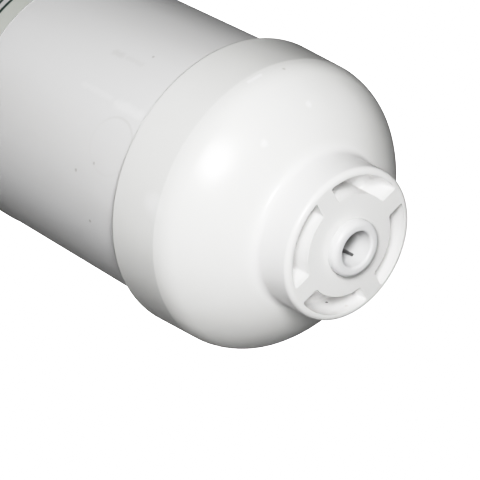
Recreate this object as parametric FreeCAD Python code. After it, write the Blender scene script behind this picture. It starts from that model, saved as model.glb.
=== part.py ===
"""In-line fridge water filter cartridge, lying on its side.

The housing's axis runs along X at the height of the end caps' edge radius, so the caps rest on Z = 0.
The outlet port points along +X and the inlet port along -X. All sizes are millimetres and degrees.
Each end is drawn in its own half section: s runs outwards from the cap's edge, r is the distance from
the axis.
"""
import FreeCAD
import Part
import math
import os

from FreeCAD import Vector

# Housing tube
tube_outer_radius = 25.5
tube_wall = 2.5
seam_spacing = 192.0  # bare tube between the edges of the two end caps
tube_end_bevel = 0.6

# End cap: skirt over the tube, creased corner, dome, neck
weld_depth = 9.0  # tube end inside the skirt
weld_gap = 0.05
skirt_wall = 1.9
skirt_length = 10.5
skirt_draft = 2.2
skirt_edge_break = 0.6
skirt_crease = 10.0  # sharp turn from the skirt into its corner
corner_radius = 8.5
corner_sweep = 33.6
dome_radius = 21.0
dome_wall = 2.6
neck_radius = 14.1
neck_height = 8.0
neck_root_fillet = 1.6
collar_edge_fillet = 1.0

# Kidney recesses in the collar's face, parted by straight spokes
spoke_count = 4
spoke_width = 3.65
spoke_turn = 28.0
recess_inner_radius = 9.45
recess_outer_radius = 12.8
recess_depth = 6.0
recess_corner_fillet = 0.5

# Push-fit port: the water tube, its socket and its stop
water_tube_radius = 3.175
tube_fit_gap = 0.075
tube_socket_length = 6.0
passage_radius = 2.2
passage_length = 2.2

# Collet: round-edged flange, slotted barrel, coned finger heads
collet_flange_radius = 5.2
collet_flange_thickness = 1.9
collet_flange_gap = 0.15  # flange to collar face when pushed in
collet_outer_round = 0.95
collet_entry_round = 0.5
collet_under_round = 0.3
collet_barrel_radius = 4.55
collet_slide_gap = 0.10
collet_travel = 1.2
collet_solid_ring = 2.9  # unslotted front of the collet
collet_slit_width = 0.7
collet_slit_turn = 30.0
collet_finger_count = 4
collet_head_length = 0.8
collet_tail_chamfer = 0.25
mouth_land = 1.6
grip_cone_length = 2.4
grip_cone_rise = 0.7
grip_cone_end_gap = 0.1

# Steel teeth in the finger heads
tooth_tip_gap = 0.025  # from the tooth's edge to a seated water tube
tooth_reach = 1.0  # measured radially
tooth_rake = 0.8  # measured along the axis
tooth_thickness = 0.25
tooth_tip_setback = 0.75  # from the collet's inner end
tooth_span = 56.0
tooth_pocket_gap = 0.03
tooth_pocket_overrun = 0.8  # pocket cut past the tooth's edge, through the bore

# Washer and rubber ring behind the collet
washer_thickness = 0.8
washer_collet_gap = 0.5
washer_bore_gap = 0.2
washer_rim_gap = 0.05
tube_seal_section = 1.8
tube_seal_inner_radius = 3.1
tube_seal_rim_gap = 0.05
tube_seal_side_gap = 0.15

# Filter block and its end plates
wrap_thickness = 0.95
wrap_water_gap = 2.4  # water space between wrap and housing tube
block_bore_radius = 5.0
block_layer_gap = 0.05
plate_thickness = 2.5
plate_lip_wall = 1.2
plate_lip_length = 6.0
plate_fin_count = 4
plate_fin_thickness = 2.0
plate_fin_gap = 0.2
plate_boss_length = 6.0

# Spigot of the outlet end plate, and the fluted peg of the inlet end plate
spigot_radius = 6.0
spigot_bore_radius = 2.8
spigot_socket_gap = 0.10
spigot_end_gap = 0.5
socket_wall = 2.2
socket_mouth_gap = 0.5
socket_lead = 0.6
spigot_seal_section = 1.64
spigot_seal_groove_depth = 1.6
spigot_seal_seat_gap = 0.02
spigot_seal_side_gap = 0.15
spigot_seal_land = 1.6  # plain spigot outside and between the two grooves
peg_rib_thickness = 2.0

# Film label around the middle of the tube
label_margin = 45.8  # bare tube between a cap's edge and the label
label_film = 0.10
label_gap = 0.05

# Sizes that follow from those above
tube_inner_radius = tube_outer_radius - tube_wall
skirt_inner_radius = tube_outer_radius + weld_gap
cap_edge_radius = skirt_inner_radius + skirt_wall
skirt_edge_radius = cap_edge_radius - skirt_edge_break * math.tan(math.radians(skirt_draft))
axis_height = skirt_edge_radius
collet_bore_radius = water_tube_radius + tube_fit_gap
mouth_radius = collet_barrel_radius + collet_slide_gap
chamber_radius = mouth_radius + grip_cone_rise
collet_head_radius = collet_barrel_radius + grip_cone_rise
tube_seal_radius = tube_seal_inner_radius + tube_seal_section / 2
gland_radius = tube_seal_inner_radius + tube_seal_section + tube_seal_rim_gap
socket_radius = spigot_radius + spigot_socket_gap
hub_radius = socket_radius + socket_wall
wrap_radius = tube_inner_radius - wrap_water_gap
block_radius = wrap_radius - wrap_thickness - block_layer_gap
plate_radius = wrap_radius + block_layer_gap + plate_lip_wall
plate_fin_root = plate_radius - plate_lip_wall / 2  # fins start in the middle of the lip's wall


def at(s, r):
    """Point of a half section."""
    return Vector(s, r, 0)


def polar(centre, radius, angle):
    """Point at an angle from the radial direction, turning towards the port."""
    return centre + Vector(math.sin(angle), math.cos(angle), 0) * radius


class Section:
    """Closed half section, drawn point by point and turned about the axis."""

    def __init__(self, start):
        self.first = start
        self.last = start
        self.edges = []

    def line(self, s, r):
        """Straight stretch to a point."""
        end = at(s, r)
        self.edges.append(Part.LineSegment(self.last, end).toShape())
        self.last = end

    def arc(self, centre, radius, angle_from, angle_to):
        """Round stretch about a centre, from the last point."""
        middle = polar(centre, radius, (angle_from + angle_to) / 2)
        end = polar(centre, radius, angle_to)
        self.edges.append(Part.Arc(self.last, middle, end).toShape())
        self.last = end

    def turned(self, sweep=360.0):
        """Solid made by turning the closed section about the axis."""
        self.line(self.first.x, self.first.y)
        face = Part.Face(Part.Wire(self.edges))
        return face.revolve(Vector(0, 0, 0), Vector(1, 0, 0), sweep)


def ring(s_from, s_to, r_inner, r_outer):
    """Plain ring about the axis."""
    section = Section(at(s_from, r_inner))
    section.line(s_from, r_outer)
    section.line(s_to, r_outer)
    section.line(s_to, r_inner)
    return section.turned()


def rubber_ring(s, radius, section_diameter):
    """Round-section sealing ring about the axis."""
    return Part.makeTorus(radius, section_diameter / 2, at(s, 0), Vector(1, 0, 0))


def turned_copies(shape, count, first_angle):
    """Copies of a shape, spread evenly about the axis."""
    copies = []
    for index in range(count):
        copy = shape.copy()
        copy.rotate(Vector(0, 0, 0), Vector(1, 0, 0), first_angle + index * 360.0 / count)
        copies.append(copy)
    return copies


class CapForm:
    """Points and centres of the end cap's half section that other pieces also need."""

    def __init__(self):
        self.draft = math.radians(skirt_draft)
        self.dome_start = self.draft + math.radians(corner_sweep)
        skirt_end = at(skirt_length, cap_edge_radius - skirt_length * math.tan(self.draft))
        self.corner_centre = polar(skirt_end, -corner_radius, self.draft)
        half_crease = math.radians(skirt_crease) / 2
        self.corner_start = self.draft + 2 * half_crease
        reach = corner_radius / math.cos(half_crease)
        self.crease = polar(self.corner_centre, reach, self.draft + half_crease)
        corner_end = polar(self.corner_centre, corner_radius, self.dome_start)
        self.dome_centre = polar(corner_end, -dome_radius, self.dome_start)
        self.face = self.on_dome(dome_radius, neck_radius) + neck_height
        self.collet_end = self.face - (
            mouth_land + collet_travel + grip_cone_end_gap + grip_cone_length + collet_head_length
        )
        self.ledge = self.collet_end - washer_collet_gap - washer_thickness
        self.gland_end = self.ledge - tube_seal_section - 2 * tube_seal_side_gap
        self.tube_stop = self.gland_end - tube_socket_length
        self.socket_end = self.tube_stop - passage_length
        self.socket_mouth = plate_thickness + socket_mouth_gap
        self.spigot_end = self.socket_end - spigot_end_gap

    def on_dome(self, radius, r):
        """Place along the axis where a ball about the dome's centre has the distance r from the axis."""
        return self.dome_centre.x + math.sqrt(radius**2 - (r - self.dome_centre.y) ** 2)

    def neck_fillet_centre(self):
        """Centre of the round between dome and neck."""
        r = neck_radius + neck_root_fillet
        return at(self.on_dome(dome_radius + neck_root_fillet, r), r)


def cap_section(form):
    """Half section of the end cap: outside from its edge to the collar, then back through the port."""
    section = Section(at(0, cap_edge_radius - skirt_edge_break))
    section.line(skirt_edge_break, skirt_edge_radius)
    section.line(form.crease.x, form.crease.y)
    corner_start = polar(form.corner_centre, corner_radius, form.corner_start)
    section.line(corner_start.x, corner_start.y)
    section.arc(form.corner_centre, corner_radius, form.corner_start, form.dome_start)
    fillet_centre = form.neck_fillet_centre()
    to_fillet = fillet_centre - form.dome_centre
    dome_end = math.atan2(to_fillet.x, to_fillet.y)
    section.arc(form.dome_centre, dome_radius, form.dome_start, dome_end)
    section.arc(fillet_centre, neck_root_fillet, dome_end - math.pi, -math.pi)
    section.line(form.face - collar_edge_fillet, neck_radius)
    edge_centre = at(form.face - collar_edge_fillet, neck_radius - collar_edge_fillet)
    section.arc(edge_centre, collar_edge_fillet, 0, math.pi / 2)
    section.line(form.face, mouth_radius)
    section.line(form.face - mouth_land, mouth_radius)
    section.line(form.face - mouth_land - grip_cone_length, chamber_radius)
    section.line(form.ledge, chamber_radius)
    section.line(form.ledge, gland_radius)
    section.line(form.gland_end, gland_radius)
    section.line(form.gland_end, collet_bore_radius)
    section.line(form.tube_stop, collet_bore_radius)
    section.line(form.tube_stop, passage_radius)
    section.line(form.socket_end, passage_radius)
    section.line(form.socket_end, socket_radius)
    section.line(form.socket_mouth + socket_lead, socket_radius)
    section.line(form.socket_mouth, socket_radius + socket_lead)
    section.line(form.socket_mouth, hub_radius)
    inner_radius = dome_radius - dome_wall
    hub_angle = math.acos((hub_radius - form.dome_centre.y) / inner_radius)
    tube_angle = math.acos((tube_inner_radius - form.dome_centre.y) / inner_radius)
    section.line(form.on_dome(inner_radius, hub_radius), hub_radius)
    section.arc(form.dome_centre, inner_radius, hub_angle, tube_angle)
    section.line(weld_depth, tube_inner_radius)
    section.line(weld_depth, skirt_inner_radius)
    section.line(0, skirt_inner_radius)
    return section


def kidney(form):
    """Cutter for one recess: a ring sector with parallel spoke sides and rounded corners."""
    floor = form.face - recess_depth
    band = ring(floor, form.face, recess_inner_radius, recess_outer_radius)
    pitch = 360.0 / spoke_count
    sides = []
    for angle in (spoke_turn, spoke_turn + pitch):
        side = Part.makeBox(
            recess_depth, 2 * recess_outer_radius, spoke_width, Vector(floor, 0, -spoke_width / 2)
        )
        side.rotate(Vector(0, 0, 0), Vector(1, 0, 0), angle)
        sides.append(side)
    parts = band.cut(sides).Solids
    middle = math.radians(spoke_turn + pitch / 2)
    toward = Vector(0, math.cos(middle), math.sin(middle))
    sector = max(parts, key=lambda solid: solid.CenterOfMass.dot(toward) / solid.Volume)
    corners = [edge for edge in sector.Edges if along_axis(edge)]
    return sector.makeFillet(recess_corner_fillet, corners)


def along_axis(edge):
    """Whether an edge is straight and runs along the axis."""
    if not isinstance(edge.Curve, Part.Line):
        return False
    return edge.Curve.Direction.cross(Vector(1, 0, 0)).Length < Part.Precision.confusion()


def end_cap(form):
    """One-piece end cap with its collar recesses."""
    recesses = turned_copies(kidney(form), spoke_count, 0.0)
    return cap_section(form).turned().cut(recesses)


def tooth_section(form, half_thickness, root_extra, tip_extra):
    """Half section of the raked tooth, its tip nearest the tube and furthest in."""
    tip = at(form.collet_end + tooth_tip_setback, water_tube_radius + tooth_tip_gap)
    along = Vector(tooth_rake, tooth_reach, 0)
    along.normalize()
    across = Vector(along.y, -along.x, 0) * half_thickness
    length = math.hypot(tooth_rake, tooth_reach)
    inner = tip - along * tip_extra
    outer = tip + along * (length + root_extra)
    corners = [inner - across, outer - across, outer + across, inner + across]
    section = Section(corners[0])
    for corner in corners[1:]:
        section.line(corner.x, corner.y)
    return section


def grip_teeth(form):
    """One steel tooth plate in each finger of the collet."""
    plate = tooth_section(form, tooth_thickness / 2, 0.0, 0.0).turned(tooth_span)
    pitch = 360.0 / collet_finger_count
    plates = turned_copies(plate, collet_finger_count, collet_slit_turn + (pitch - tooth_span) / 2)
    return Part.makeCompound(plates)


def collet_section(form):
    """Half section of the collet: tail, finger head, cone, barrel and round-edged flange."""
    cone_end = form.collet_end + collet_head_length + grip_cone_length
    under = form.face + collet_flange_gap
    front = under + collet_flange_thickness
    section = Section(at(form.collet_end, collet_bore_radius + collet_tail_chamfer))
    section.line(form.collet_end, collet_head_radius - collet_tail_chamfer)
    section.line(form.collet_end + collet_tail_chamfer, collet_head_radius)
    section.line(form.collet_end + collet_head_length, collet_head_radius)
    section.line(cone_end, collet_barrel_radius)
    section.line(under, collet_barrel_radius)
    section.line(under, collet_flange_radius - collet_under_round)
    under_centre = at(under + collet_under_round, collet_flange_radius - collet_under_round)
    section.arc(under_centre, collet_under_round, -math.pi / 2, 0)
    outer_centre = at(front - collet_outer_round, collet_flange_radius - collet_outer_round)
    section.line(outer_centre.x, collet_flange_radius)
    section.arc(outer_centre, collet_outer_round, 0, math.pi / 2)
    entry_centre = at(front - collet_entry_round, collet_bore_radius + collet_entry_round)
    section.line(front, entry_centre.y)
    section.arc(entry_centre, collet_entry_round, math.pi / 2, math.pi)
    section.line(form.collet_end + collet_tail_chamfer, collet_bore_radius)
    return section


def collet(form):
    """Slotted push-fit collet with pockets for its teeth."""
    body = collet_section(form).turned()
    front = form.face + collet_flange_gap + collet_flange_thickness
    slit_length = front - collet_solid_ring - form.collet_end
    slit = Part.makeBox(
        slit_length,
        collet_flange_radius,
        collet_slit_width,
        Vector(form.collet_end, 0, -collet_slit_width / 2),
    )
    slits = turned_copies(slit, collet_finger_count, collet_slit_turn)
    pocket_half = tooth_thickness / 2 + tooth_pocket_gap
    pocket = tooth_section(form, pocket_half, tooth_pocket_gap, tooth_pocket_overrun).turned()
    return body.cut(slits + [pocket])


def seal_washer(form):
    """Stiff ring that backs the rubber ring, against the ledge in the port."""
    inner = collet_bore_radius + washer_bore_gap
    return ring(form.ledge, form.ledge + washer_thickness, inner, chamber_radius - washer_rim_gap)


def tube_seal(form):
    """Rubber ring that seals on the water tube."""
    return rubber_ring((form.ledge + form.gland_end) / 2, tube_seal_radius, tube_seal_section)


def plate_fins():
    """Fins that centre an end plate in the housing tube."""
    fin = Part.makeBox(
        plate_lip_length,
        tube_inner_radius - plate_fin_gap - plate_fin_root,
        plate_fin_thickness,
        Vector(-plate_lip_length, plate_fin_root, -plate_fin_thickness / 2),
    )
    return turned_copies(fin, plate_fin_count, 0.0)


def plate_section(bore_radius, spigot):
    """Half section of an end plate: lip around the block, boss in its bore, disc, and what stands on it."""
    boss_radius = block_bore_radius - block_layer_gap
    section = Section(at(-plate_boss_length, bore_radius))
    section.line(-plate_boss_length, boss_radius)
    section.line(0, boss_radius)
    section.line(0, plate_radius - plate_lip_wall)
    section.line(-plate_lip_length, plate_radius - plate_lip_wall)
    section.line(-plate_lip_length, plate_radius)
    section.line(plate_thickness, plate_radius)
    for s, r in spigot:
        section.line(s, r)
    return section


def spigot_grooves(form):
    """Start of each rubber ring's groove along the spigot, the inner one first."""
    width = spigot_seal_section + 2 * spigot_seal_side_gap
    outer = form.spigot_end - spigot_seal_land - width
    return [outer - spigot_seal_land - width, outer]


def outlet_plate(form):
    """Open end plate, with the grooved spigot that carries the clean water into the outlet cap."""
    groove_radius = spigot_radius - spigot_seal_groove_depth
    width = spigot_seal_section + 2 * spigot_seal_side_gap
    outline = [(plate_thickness, spigot_radius)]
    for start in spigot_grooves(form):
        outline.append((start, spigot_radius))
        outline.append((start, groove_radius))
        outline.append((start + width, groove_radius))
        outline.append((start + width, spigot_radius))
    outline.append((form.spigot_end, spigot_radius))
    outline.append((form.spigot_end, spigot_bore_radius))
    return plate_section(spigot_bore_radius, outline).turned().fuse(plate_fins()).removeSplitter()


def inlet_plate(form):
    """Closed end plate, with a cross-ribbed peg that leaves the inlet cap's socket open for water."""
    plate = plate_section(0.0, [(plate_thickness, 0.0)]).turned()
    peg_length = form.spigot_end - plate_thickness
    ribs = []
    for turn in (0.0, 90.0):
        rib = Part.makeBox(
            peg_length,
            2 * spigot_radius,
            peg_rib_thickness,
            Vector(plate_thickness, -spigot_radius, -peg_rib_thickness / 2),
        )
        rib.rotate(Vector(0, 0, 0), Vector(1, 0, 0), turn)
        ribs.append(rib)
    round_peg = Part.makeCylinder(spigot_radius, peg_length, at(plate_thickness, 0), Vector(1, 0, 0))
    peg = ribs[0].fuse(ribs[1]).common(round_peg)
    return plate.fuse([peg] + plate_fins()).removeSplitter()


def spigot_seals(form):
    """Rubber rings of the outlet spigot, the inner one first."""
    half_width = spigot_seal_section / 2 + spigot_seal_side_gap
    groove_radius = spigot_radius - spigot_seal_groove_depth
    radius = groove_radius + spigot_seal_seat_gap + spigot_seal_section / 2
    return [
        rubber_ring(start + half_width, radius, spigot_seal_section) for start in spigot_grooves(form)
    ]


def body_tube():
    """Housing tube with bevelled ends, centred on the cartridge."""
    half = seam_spacing / 2 + weld_depth
    section = Section(at(-half, tube_inner_radius))
    section.line(-half, tube_outer_radius - tube_end_bevel)
    section.line(-half + tube_end_bevel, tube_outer_radius)
    section.line(half - tube_end_bevel, tube_outer_radius)
    section.line(half, tube_outer_radius - tube_end_bevel)
    section.line(half, tube_inner_radius)
    return section.turned()


def placed(shape, end):
    """A shape drawn in an end's own section, put at that end of the cartridge."""
    moved = shape.copy()
    moved.translate(Vector(seam_spacing / 2, 0, axis_height))
    if end == "inlet":
        moved.rotate(Vector(0, 0, 0), Vector(0, 0, 1), 180.0)
    return moved


def centred(shape):
    """A shape drawn about the middle of the cartridge, lifted to the axis."""
    moved = shape.copy()
    moved.translate(Vector(0, 0, axis_height))
    return moved


def build():
    """All pieces of the cartridge by name."""
    form = CapForm()
    half = seam_spacing / 2
    label_half = half - label_margin
    label_inner = tube_outer_radius + label_gap
    pieces = {
        "body_tube": centred(body_tube()),
        "label_sleeve": centred(ring(-label_half, label_half, label_inner, label_inner + label_film)),
        "carbon_block": centred(ring(-half, half, block_bore_radius, block_radius)),
        "sediment_wrap": centred(ring(-half, half, wrap_radius - wrap_thickness, wrap_radius)),
        "inlet_block_cap": placed(inlet_plate(form), "inlet"),
        "outlet_block_cap": placed(outlet_plate(form), "outlet"),
    }
    for name, seal in zip(("spigot_seal_inner", "spigot_seal_outer"), spigot_seals(form)):
        pieces[name] = placed(seal, "outlet")
    port_pieces = {
        "end_cap": end_cap(form),
        "collet": collet(form),
        "grip_teeth": grip_teeth(form),
        "seal_washer": seal_washer(form),
        "tube_seal": tube_seal(form),
    }
    for end in ("inlet", "outlet"):
        for name, shape in port_pieces.items():
            pieces[f"{end}_{name}"] = placed(shape, end)
    return pieces


def main():
    """Write each piece to its own file."""
    os.makedirs("parts", exist_ok=True)
    for name, shape in build().items():
        shape.exportStep(f"parts/{name}.step")
        print(f"{name}: {len(shape.Solids)} solid(s), {shape.Volume / 1000:.2f} cm3, valid {shape.isValid()}")


main()
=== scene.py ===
"""Dressed model of an in-line fridge water filter cartridge that lies on its side.

The housing's axis runs along X, the outlet port points to +X and the inlet port to -X. Lengths are metres.
Angles about the axis start at +Y and turn towards +Z. Half sections are drawn as (s, r) points: s runs
outwards from the edge of an end cap, or along X for the tube, and r is the distance from the axis.
"""

import logging
import math
from dataclasses import dataclass
from enum import Enum
from itertools import pairwise
from typing import Any, Callable, ClassVar, Sequence

import bmesh
import bpy
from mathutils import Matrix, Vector


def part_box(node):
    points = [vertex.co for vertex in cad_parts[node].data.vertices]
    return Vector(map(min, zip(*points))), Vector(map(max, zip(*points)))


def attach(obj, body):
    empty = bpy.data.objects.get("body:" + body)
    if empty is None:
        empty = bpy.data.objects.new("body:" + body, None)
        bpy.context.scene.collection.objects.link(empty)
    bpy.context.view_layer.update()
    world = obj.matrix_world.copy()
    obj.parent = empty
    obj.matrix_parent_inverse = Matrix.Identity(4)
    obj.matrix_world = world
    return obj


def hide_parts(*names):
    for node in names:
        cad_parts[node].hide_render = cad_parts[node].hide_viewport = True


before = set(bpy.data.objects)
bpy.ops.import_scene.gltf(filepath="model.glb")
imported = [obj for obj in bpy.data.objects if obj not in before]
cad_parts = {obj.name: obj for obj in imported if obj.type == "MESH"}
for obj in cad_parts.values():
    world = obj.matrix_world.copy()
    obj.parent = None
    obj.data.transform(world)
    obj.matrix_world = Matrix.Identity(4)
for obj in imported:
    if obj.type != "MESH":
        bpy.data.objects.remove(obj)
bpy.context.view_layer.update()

MM = 0.001
MERGE_DISTANCE = 0.001 * MM
PLACE_TOLERANCE = 0.01 * MM
SMOOTH_ANGLE = math.radians(32.0)
SHARP_ANGLE = math.radians(45.0)
WARM_BLUE_LOSS = 1.6
MOTTLE_SPAN = (0.3, 0.7)
GRAIN_SPAN = (0.35, 0.65)
COMBINED_CURVE = 3

Point = tuple[float, float]
Span = tuple[float, float]
Colour = tuple[float, float, float, float]
Socket = bpy.types.NodeSocket

logger = logging.getLogger("filter_cartridge")


class End(Enum):
    """The two ends of the cartridge."""

    OUTLET = "outlet"
    INLET = "inlet"


class Body(Enum):
    """The bodies that pieces ride on."""

    HOUSING = "housing"
    INLET_GRIP = "inlet_grip"
    OUTLET_GRIP = "outlet_grip"

    @classmethod
    def grip_at(cls, end: End) -> "Body":
        """Sliding body of the collet at an end."""
        return cls(f"{end.value}_grip")


class Slot(Enum):
    """The record's material slots of the pieces modelled here."""

    HOUSING_PLASTIC = "housing_plastic"
    COLLET_PLASTIC = "collet_plastic"
    LABEL_FILM = "label_film"


class Part(Enum):
    """The parts of a mesh that are selected while it is shaped."""

    VERTEX = "VERT"
    EDGE = "EDGE"
    FACE = "FACE"


def grey(level: float, warmth: float = 0.0) -> Colour:
    """Near-neutral colour, warmer above zero warmth and cooler below."""
    return (level * (1.0 + warmth), level, level * (1.0 - WARM_BLUE_LOSS * warmth), 1.0)


# Shaping

def polar(centre: Point, radius: float, angle: float) -> Point:
    """Point of a half section at an angle from the radial direction, turning towards the port."""
    return (centre[0] + radius * math.sin(angle), centre[1] + radius * math.cos(angle))


def arc(centre: Point, radius: float, start: float, end: float, steps: int) -> list[Point]:
    """Points of a round stretch of a half section.

    Args:
        centre: Centre of the arc.
        radius: Radius of the arc.
        start: First angle, from the radial direction towards the port, in radians.
        end: Last angle.
        steps: Number of straight pieces that stand for the arc.

    Returns:
        The arc's points, both ends included.
    """
    angles = [start + (end - start) * step / steps for step in range(steps + 1)]
    return [polar(centre, radius, angle) for angle in angles]


def begin_piece(name: str, place: Vector) -> bpy.types.Object:
    """Start a mesh in edit mode with one selected vertex.

    Args:
        name: Name of the piece.
        place: Where the vertex goes.

    Returns:
        The new object, at the origin.
    """
    bpy.ops.object.select_all(action="DESELECT")
    bpy.ops.mesh.primitive_plane_add(size=MM)
    piece = bpy.context.object
    piece.name = name
    piece.data.name = name
    bpy.ops.object.mode_set(mode="EDIT")
    bpy.ops.mesh.select_mode(type="VERT")
    bpy.ops.mesh.merge(type="CENTER")
    bpy.ops.transform.translate(value=place)
    return piece


def draw_line(places: Sequence[Vector]) -> None:
    """Extrude the selected vertex, which stands on the first place, along the others."""
    for earlier, later in pairwise(places):
        bpy.ops.mesh.extrude_vertices_move(TRANSFORM_OT_translate={"value": later - earlier})


def turn_selection(angle: float, centre: Vector, axis: str) -> None:
    """Turn what is selected about a line through a centre; the operator itself turns the other way."""
    bpy.ops.transform.rotate(value=-angle, orient_axis=axis, center_override=centre)


def choose(piece: bpy.types.Object, kind: Part, wanted: Callable[[Any], bool]) -> None:
    """Select the parts of a mesh in edit mode that pass a test.

    Args:
        piece: Object in edit mode.
        kind: Kind of the parts.
        wanted: Test on one vertex, edge or face.
    """
    bpy.ops.mesh.select_mode(type=kind.value)
    bpy.ops.mesh.select_all(action="DESELECT")
    mesh = bmesh.from_edit_mesh(piece.data)
    mesh.normal_update()
    parts = {Part.VERTEX: mesh.verts, Part.EDGE: mesh.edges, Part.FACE: mesh.faces}[kind]
    for part in [part for part in parts if wanted(part)]:
        part.select_set(True)
    mesh.select_flush_mode()
    bmesh.update_edit_mesh(piece.data)


def merge_doubles(distance: float = MERGE_DISTANCE) -> None:
    """Merge the vertices of the mesh in edit mode that lie within a distance of each other."""
    bpy.ops.mesh.select_all(action="SELECT")
    bpy.ops.mesh.remove_doubles(threshold=distance)


def close_mesh() -> None:
    """Merge doubled vertices of the mesh in edit mode and point its faces outwards."""
    merge_doubles()
    bpy.ops.mesh.normals_make_consistent(inside=False)


def make_active(piece: bpy.types.Object) -> None:
    """Select a piece alone and make it the active one.

    Args:
        piece: The piece, in object mode.
    """
    bpy.ops.object.select_all(action="DESELECT")
    piece.select_set(True)
    bpy.context.view_layer.objects.active = piece


def end_shaping(piece: bpy.types.Object) -> None:
    """Leave edit mode and shade the piece smooth, with its corners kept crisp.

    Args:
        piece: The shaped piece, which becomes the active one.
    """
    if piece.mode == "EDIT":
        bpy.ops.object.mode_set(mode="OBJECT")
    make_active(piece)
    bpy.ops.object.shade_smooth_by_angle(angle=SMOOTH_ANGLE)


def apply_modifier(piece: bpy.types.Object, kind: str, **settings: Any) -> None:
    """Add a modifier to the active piece and apply it.

    Args:
        piece: The active piece.
        kind: Type of the modifier.
        settings: The modifier's properties.
    """
    modifier = piece.modifiers.new(kind.lower(), kind)
    for key, value in settings.items():
        setattr(modifier, key, value)
    bpy.ops.object.modifier_apply(modifier=modifier.name)


def turned_copy(piece: bpy.types.Object, name: str) -> bpy.types.Object:
    """Copy a piece of one end to the other end, half a turn about Z.

    Args:
        piece: Finished piece of the outlet end.
        name: Name of the copy.

    Returns:
        The copy, with a mesh of its own.
    """
    copy = piece.copy()
    copy.data = piece.data.copy()
    copy.name = name
    copy.data.name = name
    bpy.context.collection.objects.link(copy)
    make_active(copy)
    bpy.ops.object.mode_set(mode="EDIT")
    bpy.ops.mesh.select_all(action="SELECT")
    turn_selection(math.pi, Vector((0.0, 0.0, 0.0)), "Z")
    bpy.ops.object.mode_set(mode="OBJECT")
    return copy


@dataclass(frozen=True)
class Lathe:
    """Turns half sections about the cartridge's axis.

    Attributes:
        height: Height of the axis above the floor.
        steps: Straight pieces in a full turn.
        first_angle: Angle at which the half section is drawn, in radians.
    """

    height: float
    steps: int
    first_angle: float = 0.0

    def place(self, x: float, r: float, angle: float) -> Vector:
        """Point at a place along the axis, a distance from it and an angle about it."""
        return Vector((x, r * math.cos(angle), self.height + r * math.sin(angle)))

    def centre(self) -> Vector:
        """Point on the axis."""
        return Vector((0.0, 0.0, self.height))

    def radius(self, place: Vector) -> float:
        """Distance of a point from the axis."""
        return math.hypot(place.y, place.z - self.height)

    def angle(self, place: Vector) -> float:
        """Angle of a point about the axis."""
        return math.atan2(place.z - self.height, place.y)

    def turn(self, name: str, start_x: float, outline: Sequence[Point]) -> bpy.types.Object:
        """Make a turned piece from a closed half section.

        Args:
            name: Name of the piece.
            start_x: Place along X where the section's s is zero.
            outline: Corner points of the half section, in order.

        Returns:
            The piece, in edit mode.
        """
        places = [self.place(start_x + s, r, self.first_angle) for s, r in outline]
        piece = begin_piece(name, places[0])
        draw_line(places)
        bpy.ops.mesh.select_all(action="DESELECT")
        mesh = bmesh.from_edit_mesh(piece.data)
        mesh.verts.ensure_lookup_table()
        for vertex in (mesh.verts[0], mesh.verts[-1]):
            vertex.select_set(True)
        bmesh.update_edit_mesh(piece.data)
        bpy.ops.mesh.edge_face_add()
        bpy.ops.mesh.select_all(action="SELECT")
        bpy.ops.mesh.spin(steps=self.steps, angle=math.tau, center=self.centre(), axis=(1.0, 0.0, 0.0))
        close_mesh()
        return piece


# Node work

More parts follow.
